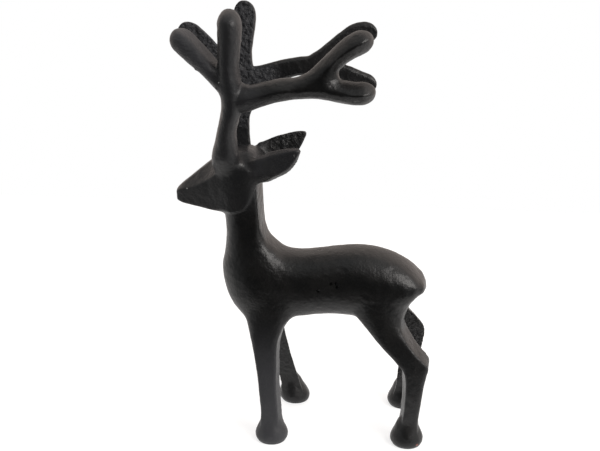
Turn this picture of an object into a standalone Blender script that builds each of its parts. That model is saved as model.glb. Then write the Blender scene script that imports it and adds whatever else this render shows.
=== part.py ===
"""A standing reindeer figure, sand cast in aluminium as one solid piece and blackened.

The figure faces -X, +Z is up, and its left side (the near one below) is at -Y. The soles of its four hooves
rest on Z = 0, and the origin is under the middle of its outline. It is a free form, so every station below is
a share of the figure's height, written in UNIT, one three-hundredth of it. Each limb is a loft through a few
stations. The lofts run into each other as the masses of the clay pattern did, a remesh makes the one casting
of them, and the roots of the limbs are worked smooth.
"""

import bpy
import bmesh
import numpy as np

HEIGHT = 0.300
UNIT = HEIGHT / 300

# Meshing, in units
SKIN_CELL = 1.0
RING_STEP = 2.0
RING_POINTS = 64
FACETS = 8600

COLOUR = (0.006, 0.0058, 0.0056, 1)
ROUGHNESS = 0.42
METALLIC = 0.4

# Neck and chest, from the crown down: z, x of the front, x of the back, half width, squareness of the back
NECK = (
    (200, -56, -34, 15.0, 3.0),
    (190, -57, -31, 16.5, 4.0),
    (180, -57, -30.4, 16.5, 9.0),
    (170, -56, -30.0, 15.6, 14.0),
    (160, -55.3, -29.4, 14.8, 14.0),
    (150, -54.6, -28.3, 15.0, 8.0),
    (142, -55.0, -24.6, 15.9, 4.4),
    (134, -56, -15, 17.8, 2.9),
    (124, -57.9, -3, 20.4, 2.7),
    (112, -57.1, 4, 21.8, 2.5),
    (101, -54.1, 2, 21.2, 2.3),
    (92, -49, -8, 19.0, 2.1),
    (85, -43.4, -14, 15.5, 2.0),
)
# How far the flat nape is bowed
NAPE_BOW = 1.1
# Barrel and rump, from the chest back: x, z of the belly, z of the back, half width
BARREL = (
    (-44, 100, 128, 15),
    (-32, 91, 134, 18.5),
    (-18, 84.4, 135, 20.8),
    (-4, 86.2, 133.6, 20.8),
    (10, 88.4, 135.2, 20.6),
    (24, 89, 137.4, 20.8),
    (38, 87.8, 138.4, 21.6),
    (51, 84.5, 136.9, 22.6),
    (62, 90, 133.2, 22),
    (71.5, 98, 127.6, 20.6),
    (78.5, 106.4, 121.2, 17.0),
    (82.6, 109.6, 116.6, 11.6),
    (84, 110.8, 113.8, 5),
)
# Head, from the nose back: x, then z of the ridge, of the cheek's top edge, of the jaw's edge and of the
# underside, then half width at the ridge, at the cheek's top edge and at the jaw's edge
HEAD = (
    (-88.2, 177.0, 175.6, 169.8, 168.9, 1.9, 4.8, 4.3),
    (-85.8, 179.5, 177.2, 168.6, 167.6, 2.2, 6.0, 5.0),
    (-79, 185.2, 178.8, 167.4, 166.2, 2.6, 8.4, 6.8),
    (-72, 190.8, 182.0, 166.6, 165.2, 2.8, 10.8, 8.6),
    (-65, 196.6, 186.2, 165.6, 164.2, 3.2, 13.2, 10.8),
    (-58, 202.0, 191.6, 164.9, 163.4, 4.6, 16.2, 13.2),
    (-50, 205.0, 195.5, 165.0, 163.4, 7, 19.0, 16.2),
    (-43, 206.4, 196, 166.4, 165.2, 9, 19.8, 17.4),
    (-38.6, 206.8, 196, 169.6, 168.6, 9.5, 20.0, 17.6),
    (-35.2, 205.8, 195.4, 175.2, 174.2, 9.2, 19.8, 17.2),
    (-31.6, 203.2, 194.4, 183.6, 182.4, 8.4, 18.6, 16.0),
    (-28.4, 200.0, 194, 187.6, 186.6, 6.4, 14.0, 12.0),
    (-26.2, 198.0, 194, 189.6, 188.6, 4.6, 8.0, 7.0),
)
# Legs of the near side, from the body down: z, x of the front, x of the back, y of the inner face and of the
# outer one, then how much of the width the bevels take at the front and at the back
FORE_LEG = (
    (112, -40, -3, 2.5, 21.2, 0.1, 0.1),
    (104, -41, -1.5, 2.5, 21.4, 0.1, 0.1),
    (97, -42, -2, 3, 21.6, 0.1, 0.1),
    (90, -42.6, -5.8, 5, 21.9, 0.08, 0.1),
    (82, -39.8, -12.2, 8, 22.7, 0.06, 0.09),
    (72, -36.7, -16.1, 11, 24.1, 0.05, 0.08),
    (63, -34.6, -16.7, 13.6, 25.8, 0.05, 0.08),
    (53, -32.6, -16.6, 16.2, 28.3, 0.05, 0.09),
    (43, -31.2, -16.4, 18.2, 30.6, 0.05, 0.1),
    (33, -30.0, -15.7, 19.8, 32.4, 0.05, 0.11),
    (23, -29.2, -14.8, 21.0, 33.6, 0.05, 0.11),
    (14, -29.6, -14.0, 21.2, 34.6, 0.05, 0.1),
    (6, -30.5, -12.5, 21.4, 35.0, 0.05, 0.1),
)
HIND_LEG = (
    (118, 30, 74, 2, 22.0, 0.06, 0.06),
    (108, 28, 76, 2, 22.2, 0.06, 0.06),
    (100, 29, 74.4, 3.5, 22.4, 0.06, 0.08),
    (92, 35, 70.7, 5.5, 22.7, 0.06, 0.1),
    (86, 41, 71.0, 7, 23.1, 0.06, 0.13),
    (80, 46.8, 74.2, 8.6, 23.7, 0.06, 0.15),
    (74, 52.4, 78.2, 10.2, 24.5, 0.06, 0.16),
    (68.5, 58, 83.2, 11.6, 25.4, 0.06, 0.16),
    (64.6, 61.8, 86.8, 12.4, 26.0, 0.06, 0.15),
    (61.2, 64.7, 88.6, 13.0, 26.4, 0.08, 0.1),
    (58.6, 67.0, 88.2, 13.5, 26.8, 0.1, 0.05),
    (55.4, 68.8, 87.3, 14.0, 27.2, 0.12, 0.03),
    (48, 69.9, 85.6, 15.2, 28.0, 0.15, 0.03),
    (38, 70.2, 84.3, 16.4, 28.9, 0.16, 0.03),
    (28, 69.9, 83.2, 17.2, 29.6, 0.15, 0.03),
    (18, 69.2, 82.3, 17.4, 30.2, 0.12, 0.03),
    (8, 67, 83.5, 17.4, 30.8, 0.1, 0.03),
)
# The far hind leg, mirrored: its foot stands a little further in front and out, its hock is higher and its
# haunch fuller at the back
FAR_HIND_LEG = (
    (118, 30, 74, 2, 22.0, 0.06, 0.06),
    (108, 27, 76, 2, 22.2, 0.06, 0.06),
    (100, 28, 73.5, 3.5, 22.4, 0.06, 0.06),
    (94, 31.5, 72.2, 5.5, 22.8, 0.06, 0.06),
    (88.6, 36, 74.0, 7.5, 23.5, 0.06, 0.14),
    (84.7, 39.5, 77.4, 8.8, 24.1, 0.06, 0.14),
    (80.8, 43.5, 80.6, 10.0, 24.8, 0.06, 0.14),
    (76.9, 47.5, 83.6, 11.2, 25.6, 0.06, 0.14),
    (72.1, 52.3, 85.6, 12.4, 26.6, 0.06, 0.14),
    (66.2, 57.6, 85.7, 13.8, 27.7, 0.06, 0.14),
    (61.5, 62.2, 85.3, 15.0, 28.5, 0.06, 0.14),
    (57, 65.6, 84.6, 16.0, 29.3, 0.14, 0.03),
    (50, 67.4, 83.9, 17.2, 30.2, 0.14, 0.03),
    (38, 67.7, 82.5, 18.8, 31.8, 0.14, 0.03),
    (28, 67.4, 81.4, 20.2, 33.0, 0.14, 0.03),
    (18, 66.8, 80.6, 21.2, 34.2, 0.14, 0.03),
    (8, 64.6, 81.2, 21.6, 35.0, 0.14, 0.03),
)
# Hoof, a bell: z and its radius; it runs on below the ground, where it is cut flat
HOOF = (
    (21, 5.0),
    (17, 7.2),
    (13.5, 8.4),
    (10, 9.9),
    (7, 11.1),
    (4.2, 11.7),
    (2, 11.3),
    (0.6, 10.4),
    (-3, 9.6),
)
FORE_HOOF = (-21.4, 28.0)
HIND_HOOF = (74.6, 23.8)
FAR_HIND_HOOF = (72.6, 28.3)
HOOF_DEPTH = 0.94
# The far fore leg is the near one mirrored and leant back from the knee down, with a wider bevel at the back
FAR_FORE_BEVEL = 0.24
FAR_FORE_HOOF_BACK = 11.3
FORE_KNEE = 70
# A leg's outer side is oval where it leaves the body and nearly flat at the shank: the power of its
# superellipse, and the heights where that starts and ends
ROOT_ROUNDNESS = 2.2
SHANK_ROUNDNESS = 6.0
ROOT_LEVEL = 96
SHANK_LEVEL = 62

# Antlers: x, z, y of the flat inner face, width, thickness. The last row of a branch is its rounded tip
STEM = (
    (-50.8, 194.5, 12.4, 17.6, 6.6),
    (-51, 199.5, 14.3, 19.2, 8.1),
    (-51, 204, 15.4, 18.4, 9.8),
    (-50.0, 214, 16.8, 14.8, 11.6),
    (-48.4, 225, 18.2, 12.0, 12.2),
    (-46.1, 233, 19.6, 12.4, 12.4),
    (-44.1, 242, 21, 14.4, 13),
    (-45.2, 254, 22.4, 14.6, 13),
    (-45.7, 265, 24, 13.2, 12.5),
    (-44.9, 275, 25.2, 13.8, 12.8),
    (-44.0, 285, 26.3, 14.8, 13),
    (-43.9, 299.8, 27.6, 14.8, 12.6),
)
# The far stem is wider at the back from the head up to the beam
FAR_STEM_WIDER = 2.4
FAR_STEM = tuple(
    (x + wider / 2, z, y, width + wider, thickness)
    for x, z, y, width, thickness in STEM
    for wider in [FAR_STEM_WIDER * (z < 240)]
)
FRONT_TINE = {
    "near": (
        (-44, 249, 21.5, 15, 12.5),
        (-51, 256.2, 21, 14, 12.5),
        (-58.6, 263.4, 19.6, 13.4, 12.2),
        (-66.4, 270, 17, 15, 12),
        (-72.8, 275.4, 14.8, 15.8, 12),
        (-82.6, 283.6, 11.8, 15.6, 11.5),
    ),
    "far": (
        (-44, 246, 21.5, 15, 12.5),
        (-51, 252.4, 21, 14, 12.5),
        (-58.6, 258.6, 19.6, 13.2, 12.2),
        (-66.4, 267.0, 17, 14.8, 12),
        (-73.4, 274.4, 14.8, 15.6, 12),
        (-84.4, 284.8, 11.8, 15.6, 11.5),
    ),
}
BEAM = {
    "near": (
        (-45, 243.5, 21, 18, 12.5),
        (-36, 244.8, 21.2, 18.2, 12.5),
        (-28.5, 246.4, 21.6, 15.6, 12),
        (-15.5, 249.8, 22.2, 14.6, 11.6),
        (-2.8, 251.7, 22.7, 14.2, 11.6),
        (7.5, 252.6, 23.2, 14.8, 11.8),
        (15, 252.2, 23.6, 15, 12),
        (24.4, 250.3, 24, 14.6, 12),
        (31, 249.4, 24.5, 14.6, 12),
        (45.8, 250.2, 25.2, 14.6, 11.4),
    ),
    "far": (
        (-45, 245, 21, 18, 12.5),
        (-36, 248, 21.2, 18, 12.5),
        (-28, 251.2, 21.6, 14.8, 12),
        (-15.5, 255.4, 22.2, 13.2, 11.6),
        (-7, 257.1, 22.6, 12.7, 11.6),
        (2, 257.2, 23, 13.8, 11.8),
        (13, 254.3, 23.6, 15.2, 12),
        (24.4, 250.8, 24, 14.8, 12),
        (33, 247.8, 24.5, 13.6, 12),
        (45.6, 243.8, 25.2, 13, 11.4),
    ),
}
FORK = {
    "near": (
        (0, 253, 22.8, 11.5, 11),
        (8, 257.6, 23.3, 12.6, 11.4),
        (16.4, 265.3, 24, 12.8, 11.8),
        (23.7, 272.8, 25, 12.8, 12),
        (30, 277.6, 25.8, 14.2, 12),
        (43.2, 284.2, 26.2, 14.6, 11.4),
    ),
    "far": (
        (0, 258.4, 22.8, 11, 11),
        (8, 262.4, 23.3, 12, 11.4),
        (16.4, 268.8, 24, 12.4, 11.8),
        (23.7, 274.4, 25, 12.8, 12),
        (30, 278.0, 25.8, 14.2, 12),
        (45.2, 279.8, 26.2, 14.6, 11.4),
    ),
}
# The web that fills the angle of the fork
WEB = {
    "near": (
        (-2, 253.2, 22.8, 12, 11.0),
        (10, 257.0, 23.2, 15, 11.6),
        (23.4, 261.8, 24.2, 13, 10.8),
    ),
    "far": (
        (-2, 257.2, 22.8, 10.4, 10.6),
        (10, 258.8, 23.2, 13.6, 11.4),
        (23.4, 262.0, 24.2, 13, 10.8),
    ),
}
# How far the outer side is pinched to a crest, from 0, round, to 1, a roof: at the root and at the tip
STEM_CREST = (0.0, 0.0)
TINE_CREST = (0.05, 0.05)
BEAM_CREST = (0.2, 0.62)
FORK_CREST = (0.5, 0.5)
WEB_CREST = (0.25, 0.25)
EAR_CREST = (0.0, 0.0)
# Bevel of the outer side: its share of the width at the front or upper edge, and at the back or lower one
STEM_RIM = (0.02, 0.06)
TINE_RIM = (0.02, 0.2)
# Length of the rounded end of a branch: its share of the width there
CAP_LENGTH = 0.62
# Bevel where the flat inner face meets the outer side: its share of the half width, and of the thickness
STEM_BEVEL = (0.08, 0.06)
FORK_BEVEL = (0.3, 0.16)

# Ear, from the root to the tip: x, z, y of the inner face, width, thickness
EAR = {
    "near": (
        (-37, 190.5, 10.5, 15, 8),
        (-29.5, 194.6, 12.0, 19.6, 7.6),
        (-21.5, 198.4, 14.4, 19.0, 7.0),
        (-14, 202.2, 16.6, 17.2, 6.4),
        (-8.4, 206.1, 18.4, 12.8, 5.8),
        (-4.4, 209.2, 19.8, 7.2, 5.2),
        (-1.2, 211.4, 20.6, 1.4, 3.4),
    ),
    "far": (
        (-37, 194.0, 10.5, 15, 8),
        (-29.5, 197.8, 12.0, 19.6, 7.6),
        (-21.5, 201.2, 14.4, 19.0, 7.0),
        (-14, 204.4, 16.6, 17.2, 6.4),
        (-8.6, 208.0, 18.4, 12.8, 5.8),
        (-4.6, 210.8, 19.8, 7.2, 5.2),
        (-1.2, 212.8, 20.6, 1.4, 3.4),
    ),
}
# The ear's rim: its bevel at the upper edge and the wider one at the lower, how deep it is hollowed, and how
# far the hollow sits off the middle
EAR_RIM = (0.14, 0.22)
EAR_HOLLOW = 0.24
EAR_FOLD = 0.2

# Roots worked smooth: x, y of the near one (0 is in the middle), z, radius
ROOTS = (
    (-20, 0, 140, 22),
    (-21, 13, 136, 20),
    (-14, 14, 118, 24),
    (-17, 20, 100, 20),
    (-32, 14, 90, 17),
    (-42, 12, 86, 12),
    (-12, 14, 87, 12),
    (46, 14, 93, 17),
    (56, 20, 100, 22),
    (70, 10, 97, 12),
    (-56, 0, 161, 8),
    (-54, 11, 161, 8),
    (-53, 20, 196, 9.5),
    (-45, 21, 196, 9.5),
    (-30, 18, 190, 9),
    (-31, 19, 198, 8),
    (-44, 8, 205, 8),
    (-30, 10, 200, 12),
    (-21, 28, 15, 7),
    (-13, 28, 15, 7),
    (74, 26, 15, 7),
    (-47, 30, 250, 9),
    (-33, 22, 252, 7),
    (-41, 20, 236, 7),
    (-53, 22, 262, 5),
    (0, 31, 257, 10),
    (14, 32, 258, 12),
    (22, 35, 256, 10),
    (21, 24, 261, 7),
)
ROOT_PASSES = 60
SKIN_PASSES = 2


def through(stations, step=RING_STEP):
    """Rows read from the smooth curve through the stations, about one step apart."""
    rows = np.array(stations, float)
    knots = np.append(0, np.cumsum(np.linalg.norm(np.diff(rows[:, :2], axis=0), axis=1)))
    slopes = np.gradient(rows, knots, axis=0)
    at = np.linspace(0, knots[-1], round(knots[-1] / step) + 1)
    low = np.clip(np.searchsorted(knots, at, side="right") - 1, 0, len(knots) - 2)
    span = (knots[low + 1] - knots[low])[:, None]
    u = (at - knots[low])[:, None] / span
    start = (1 + 2 * u) * (1 - u) ** 2 * rows[low] + u * (1 - u) ** 2 * span * slopes[low]
    end = u**2 * (3 - 2 * u) * rows[low + 1] - u**2 * (1 - u) * span * slopes[low + 1]
    return start + end


def circle():
    return np.linspace(0, 2 * np.pi, RING_POINTS, endpoint=False)


def rounded(value, power):
    """A cosine or sine bent so that the pair draws a superellipse of this power."""
    return np.sign(value) * np.abs(value) ** (2 / power)


def half_round(crest, front_bevel, back_bevel, power=2.3, inner_bevel=(0.02, 0)):
    """A flat-backed section: across from -1 to 1, and out from 0 at the inner face to 1.

    The outer side is half a superellipse, pinched towards a roof by crest. Each bevel is a straight cut.
    """
    turn = circle()
    across = rounded(np.cos(turn), power)
    bulge = (1 - crest) * rounded(np.abs(np.sin(turn)), power) + crest * (1 - np.abs(across))
    bulge = np.minimum(bulge, (1 + across) / (2 * front_bevel))
    bulge = np.minimum(bulge, (1 - across) / (2 * back_bevel))
    share, depth = inner_bevel
    inner = depth * np.clip((np.abs(across) - 1 + share) / share, 0, 1)
    return across, np.where(turn < np.pi, depth + (1 - depth) * np.maximum(bulge, 0), inner)


def neck():
    """Level ovals whose back is squared off."""
    z, front, back, half, square = through(NECK).T[..., None]
    cosine, sine = np.cos(circle()), np.sin(circle())
    power = np.where(cosine > 0, square, 2.3)
    bow = NAPE_BOW * np.clip(square / 6 - 0.5, 0, 1) * rounded(sine, power) ** 2 * (cosine > 0)
    x = (front + back) / 2 + (back - front) / 2 * rounded(cosine, power) - bow
    return np.stack(np.broadcast_arrays(x, half * rounded(sine, power), z), 2)


def barrel():
    """Upright ovals, a little fuller than ellipses."""
    x, belly, back, half = through(BARREL).T[..., None]
    fullness = 2.25
    z = (belly + back) / 2 + (back - belly) / 2 * rounded(np.cos(circle()), fullness)
    return np.stack(np.broadcast_arrays(x, half * rounded(np.sin(circle()), fullness), z), 2)


def head():
    """Upright eight-sided sections, whose corners run back as the edges of the facets."""
    x, ridge, edge, jaw, chin, ridge_half, edge_half, jaw_half = through(HEAD).T
    chin_half = jaw_half * 0.6
    y = np.stack([ridge_half, edge_half, jaw_half, chin_half], 1)
    z = np.stack([ridge, edge, jaw, chin], 1)
    y = np.hstack([y, -y[:, ::-1]])
    z = np.hstack([z, z[:, ::-1]])
    corner = np.linspace(0, 8, RING_POINTS, endpoint=False)
    low, part = corner.astype(int), corner % 1
    high = (low + 1) % 8
    y = y[:, low] * (1 - part) + y[:, high] * part
    z = z[:, low] * (1 - part) + z[:, high] * part
    return np.stack(np.broadcast_arrays(x[:, None], y, z), 2)


def leg(stations):
    """Level flat-backed sections: the inner face is flat, and the outer side flatter the lower it is."""
    rings = []
    for z, front, back, inner, outer, front_bevel, back_bevel in through(stations):
        low = np.clip((ROOT_LEVEL - z) / (ROOT_LEVEL - SHANK_LEVEL), 0, 1)
        power = ROOT_ROUNDNESS + low * (SHANK_ROUNDNESS - ROOT_ROUNDNESS)
        across, out = half_round(0, front_bevel, back_bevel, power)
        x = (front + back) / 2 + (back - front) / 2 * across
        rings.append(np.stack([x, -inner - (outer - inner) * out, np.full(RING_POINTS, z)], 1))
    return np.array(rings)


def hoof(place):
    z, radius = through(HOOF, 0.7).T[..., None]
    x = place[0] + radius * np.cos(circle())
    y = -place[1] + radius * HOOF_DEPTH * np.sin(circle())
    return np.stack(np.broadcast_arrays(x, y, z), 2)


def branch(stations, crest, inner_bevel=STEM_BEVEL, rim=(0.02, 0.02), hollow=0.0):
    """A flat-backed rod swept along its inner face, whose end is rounded off over a share of its width."""
    rows = through(stations, RING_STEP / 2)
    centre = np.stack([rows[:, 0], -rows[:, 2], rows[:, 1]], 1)
    along = np.gradient(centre, axis=0)
    along /= np.linalg.norm(along, axis=1, keepdims=True)
    outward = np.array([0, -1, 0]) + along * along[:, 1:2]
    outward /= np.linalg.norm(outward, axis=1, keepdims=True)
    across = np.cross(along, outward)
    length = np.append(0, np.cumsum(np.linalg.norm(np.diff(centre, axis=0), axis=1)))
    reach = stations[-1][3] * CAP_LENGTH
    left = np.clip((length[-1] - length) / reach, 0, 1)
    taper = np.sqrt(np.maximum(1 - (1 - left) ** 2, 0.001))
    share = (length / length[-1])[:, None]
    side, round_out = half_round(0, *rim, inner_bevel=inner_bevel)
    roof_out = half_round(1, *rim, inner_bevel=inner_bevel)[1]
    pinch = crest[0] + (crest[1] - crest[0]) * share
    out = (1 - pinch) * round_out + pinch * roof_out
    middle = EAR_FOLD / 2 + rim[0] - rim[1]
    dish = hollow * np.clip(1 - ((side - middle) / (1 - sum(rim))) ** 2, 0, 1)
    out = np.where(circle() < np.pi, np.maximum(out - dish, 0.12 * np.sin(circle())), out)
    wide = (rows[:, 3] / 2 * taper)[:, None, None] * side[None, :, None] * across[:, None]
    deep = (rows[:, 4] * taper)[:, None, None] * out[:, :, None] * outward[:, None]
    return centre[:, None] + wide + deep


def mirrored(rings):
    return rings[:, ::-1] * (1, -1, 1)


def pair(tables, *shape):
    """The near one of a pair of branches, and the far one on its own side."""
    return [branch(tables["near"], *shape), mirrored(branch(tables["far"], *shape))]


def far_fore(rings):
    """The near fore leg mirrored and leant back from the knee down."""
    moved = mirrored(rings)
    below = np.clip(1 - moved[..., 2] / FORE_KNEE, 0, 1)
    moved[..., 0] += FAR_FORE_HOOF_BACK * below**1.1
    return moved


def lofts():
    """Every limb as an array of rings."""
    fore_hoof = hoof(FORE_HOOF)
    pieces = [neck(), barrel(), head(), leg(FORE_LEG), fore_hoof, leg(HIND_LEG), hoof(HIND_HOOF)]
    pieces += [far_fore(leg([row[:6] + (FAR_FORE_BEVEL,) for row in FORE_LEG])), far_fore(fore_hoof)]
    pieces += [mirrored(leg(FAR_HIND_LEG)), mirrored(hoof(FAR_HIND_HOOF))]
    pieces += [branch(STEM, STEM_CREST, STEM_BEVEL, STEM_RIM)]
    pieces += [mirrored(branch(FAR_STEM, STEM_CREST, STEM_BEVEL, STEM_RIM))]
    pieces += pair(FRONT_TINE, TINE_CREST, STEM_BEVEL, TINE_RIM) + pair(BEAM, BEAM_CREST, FORK_BEVEL)
    pieces += pair(FORK, FORK_CREST, FORK_BEVEL) + pair(WEB, WEB_CREST, FORK_BEVEL)
    pieces += pair(EAR, EAR_CREST, STEM_BEVEL, EAR_RIM, EAR_HOLLOW)
    return pieces


def closed_mesh(name, pieces):
    """One mesh that holds each array of rings as a closed skin with flat ends."""
    points, faces, first = [], [], 0
    for rings in pieces:
        count, around = rings.shape[:2]
        index = first + np.arange(count * around).reshape(count, around)
        after = np.roll(index, -1, axis=1)
        faces += np.stack([index[:-1], after[:-1], after[1:], index[1:]], 2).reshape(-1, 4).tolist()
        faces += [index[0, ::-1].tolist(), index[-1].tolist()]
        points.append(rings.reshape(-1, 3))
        first += count * around
    mesh = bpy.data.meshes.new(name)
    mesh.from_pydata((np.concatenate(points) * UNIT).tolist(), [], faces)
    mesh.update()
    return mesh


def evaluated_mesh(obj):
    bpy.context.view_layer.update()
    return bpy.data.meshes.new_from_object(obj.evaluated_get(bpy.context.evaluated_depsgraph_get()))


def remeshed(obj, cell):
    """The overlapping skins of the object as one skin."""
    modifier = obj.modifiers.new("one skin", "REMESH")
    modifier.mode = "VOXEL"
    modifier.voxel_size = cell
    mesh = evaluated_mesh(obj)
    obj.modifiers.remove(modifier)
    return mesh


def work_smooth(mesh):
    """Moves each point towards the middle of its neighbours: all over a little, and at the roots a lot."""
    points = np.empty(len(mesh.vertices) * 3)
    mesh.vertices.foreach_get("co", points)
    points = points.reshape(-1, 3)
    ends = np.empty(len(mesh.edges) * 2, int)
    mesh.edges.foreach_get("vertices", ends)
    start, stop = ends.reshape(-1, 2).T
    near = np.zeros(len(points))
    for x, y, z, radius in ROOTS:
        for side in (-1, 1):
            away = np.linalg.norm(points / UNIT - (x, side * y, z), axis=1) / radius
            near = np.maximum(near, np.clip(1.4 * (1 - away), 0, 1))
    neighbours = np.bincount(start, minlength=len(points)) + np.bincount(stop, minlength=len(points))
    for turn in range(ROOT_PASSES):
        weight = np.maximum(near, turn < SKIN_PASSES)[:, None] * 0.5
        total = np.stack([
            np.bincount(start, points[stop, axis], len(points)) + np.bincount(stop, points[start, axis], len(points))
            for axis in range(3)
        ], 1)
        points = points + weight * (total / neighbours[:, None] - points)
    mesh.vertices.foreach_set("co", points.ravel())
    mesh.update()


def thinned(obj, facets):
    modifier = obj.modifiers.new("fewer facets", "DECIMATE")
    modifier.ratio = facets / (2 * len(obj.data.polygons))
    mesh = evaluated_mesh(obj)
    obj.modifiers.remove(modifier)
    return mesh


def cut_soles(mesh):
    """Cuts the hooves off flat at the ground and closes each sole."""
    work = bmesh.new()
    work.from_mesh(mesh)
    everything = work.verts[:] + work.edges[:] + work.faces[:]
    cut = bmesh.ops.bisect_plane(work, geom=everything, plane_co=(0, 0, 0), plane_no=(0, 0, -1), clear_outer=True)
    rim = [edge for edge in cut["geom_cut"] if isinstance(edge, bmesh.types.BMEdge)]
    bmesh.ops.holes_fill(work, edges=rim, sides=0)
    bmesh.ops.triangulate(work, faces=work.faces[:])
    bmesh.ops.recalc_face_normals(work, faces=work.faces[:])
    work.to_mesh(mesh)
    work.free()


def blackened_aluminium():
    material = bpy.data.materials.new("blackened aluminium")
    material.use_nodes = True
    shader = material.node_tree.nodes["Principled BSDF"]
    shader.inputs["Base Color"].default_value = COLOUR
    shader.inputs["Roughness"].default_value = ROUGHNESS
    shader.inputs["Metallic"].default_value = METALLIC
    return material


def build():
    for obj in list(bpy.data.objects):
        bpy.data.objects.remove(obj)
    figure = bpy.data.collections.new("reindeer figure")
    bpy.context.scene.collection.children.link(figure)
    reindeer = bpy.data.objects.new("reindeer", closed_mesh("lofts", lofts()))
    figure.objects.link(reindeer)
    reindeer.data = remeshed(reindeer, SKIN_CELL * UNIT)
    work_smooth(reindeer.data)
    reindeer.data = thinned(reindeer, FACETS)
    cut_soles(reindeer.data)
    reindeer.data.name = "reindeer"
    reindeer.data.materials.clear()
    reindeer.data.materials.append(blackened_aluminium())
    reindeer.data.shade_smooth()
    reindeer.data.set_sharp_from_angle(angle=0.7)


build()
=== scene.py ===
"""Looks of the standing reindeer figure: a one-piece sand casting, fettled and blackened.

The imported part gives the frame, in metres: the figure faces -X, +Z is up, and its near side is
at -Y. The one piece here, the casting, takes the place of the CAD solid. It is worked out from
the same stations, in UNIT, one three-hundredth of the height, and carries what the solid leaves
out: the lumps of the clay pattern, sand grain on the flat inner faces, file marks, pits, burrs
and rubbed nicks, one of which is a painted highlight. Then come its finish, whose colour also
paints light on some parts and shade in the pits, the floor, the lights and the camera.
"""

import itertools
from math import radians

import bpy
import numpy as np
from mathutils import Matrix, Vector

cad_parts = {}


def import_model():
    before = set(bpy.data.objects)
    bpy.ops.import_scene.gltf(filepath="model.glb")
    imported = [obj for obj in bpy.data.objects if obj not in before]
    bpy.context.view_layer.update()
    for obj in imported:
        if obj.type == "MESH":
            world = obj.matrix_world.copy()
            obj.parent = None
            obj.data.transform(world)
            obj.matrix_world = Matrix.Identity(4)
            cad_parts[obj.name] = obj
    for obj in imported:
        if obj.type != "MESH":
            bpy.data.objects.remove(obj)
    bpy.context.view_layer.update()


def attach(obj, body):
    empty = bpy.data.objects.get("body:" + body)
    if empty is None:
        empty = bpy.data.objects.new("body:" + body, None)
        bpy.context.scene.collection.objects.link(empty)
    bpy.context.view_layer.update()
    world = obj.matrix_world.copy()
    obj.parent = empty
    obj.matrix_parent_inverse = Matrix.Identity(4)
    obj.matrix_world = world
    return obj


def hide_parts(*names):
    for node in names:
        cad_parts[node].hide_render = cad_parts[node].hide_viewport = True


HEIGHT = 0.300
UNIT = HEIGHT / 300

# Meshing, in units
SKIN_CELL = 0.62
RING_STEP = 1.0
RING_POINTS = 120
MOST_FACETS = 192000

# Neck and chest, from the crown down: z, x of the front, x of the back, half width, squareness of
# the back
NECK = (
    (200, -56, -34, 15.0, 3.0),
    (190, -57, -31, 16.5, 4.0),
    (180, -57, -30.4, 16.5, 9.0),
    (170, -56, -30.0, 15.6, 14.0),
    (160, -55.3, -29.4, 14.8, 14.0),
    (150, -54.6, -28.3, 15.0, 8.0),
    (142, -55.0, -24.6, 15.9, 4.4),
    (134, -56, -15, 17.8, 2.9),
    (124, -57.9, -3, 20.4, 2.7),
    (112, -57.1, 4, 21.8, 2.5),
    (101, -54.1, 2, 21.2, 2.3),
    (92, -49, -8, 19.0, 2.1),
    (85, -43.4, -14, 15.5, 2.0),
)
# How far the flat nape is bowed
NAPE_BOW = 1.1
# Barrel and rump, from the chest back: x, z of the belly, z of the back, half width
BARREL = (
    (-44, 100, 128, 15),
    (-32, 91, 134, 18.5),
    (-18, 84.4, 135, 20.8),
    (-4, 86.2, 133.6, 20.8),
    (10, 88.4, 135.2, 20.6),
    (24, 89, 137.4, 20.8),
    (38, 87.8, 138.4, 21.6),
    (51, 84.5, 136.9, 22.6),
    (62, 90, 133.2, 22),
    (71.5, 98, 127.6, 20.6),
    (78.5, 106.4, 121.2, 17.0),
    (82.6, 109.6, 116.6, 11.6),
    (84, 110.8, 113.8, 5),
)
# Head, from the nose back: x, then z of the ridge, of the cheek's top edge, of the jaw's edge and
# of the underside, then half width at the ridge, at the cheek's top edge and at the jaw's edge
HEAD = (
    (-88.2, 177.0, 175.6, 169.8, 168.9, 1.9, 4.8, 4.3),
    (-85.8, 179.5, 177.2, 168.6, 167.6, 2.2, 6.0, 5.0),
    (-79, 185.2, 178.8, 167.4, 166.2, 2.6, 8.4, 6.8),
    (-72, 190.8, 182.0, 166.6, 165.2, 2.8, 10.8, 8.6),
    (-65, 196.6, 186.2, 165.6, 164.2, 3.2, 13.2, 10.8),
    (-58, 202.0, 191.6, 164.9, 163.4, 4.6, 16.2, 13.2),
    (-50, 205.0, 195.5, 165.0, 163.4, 7, 19.0, 16.2),
    (-43, 206.4, 196, 166.4, 165.2, 9, 19.8, 17.4),
    (-38.6, 206.8, 196, 169.6, 168.6, 9.5, 20.0, 17.6),
    (-35.2, 205.8, 195.4, 175.2, 174.2, 9.2, 19.8, 17.2),
    (-31.6, 203.2, 194.4, 183.6, 182.4, 8.4, 18.6, 16.0),
    (-28.4, 200.0, 194, 187.6, 186.6, 6.4, 14.0, 12.0),
    (-26.2, 198.0, 194, 189.6, 188.6, 4.6, 8.0, 7.0),
)
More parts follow.
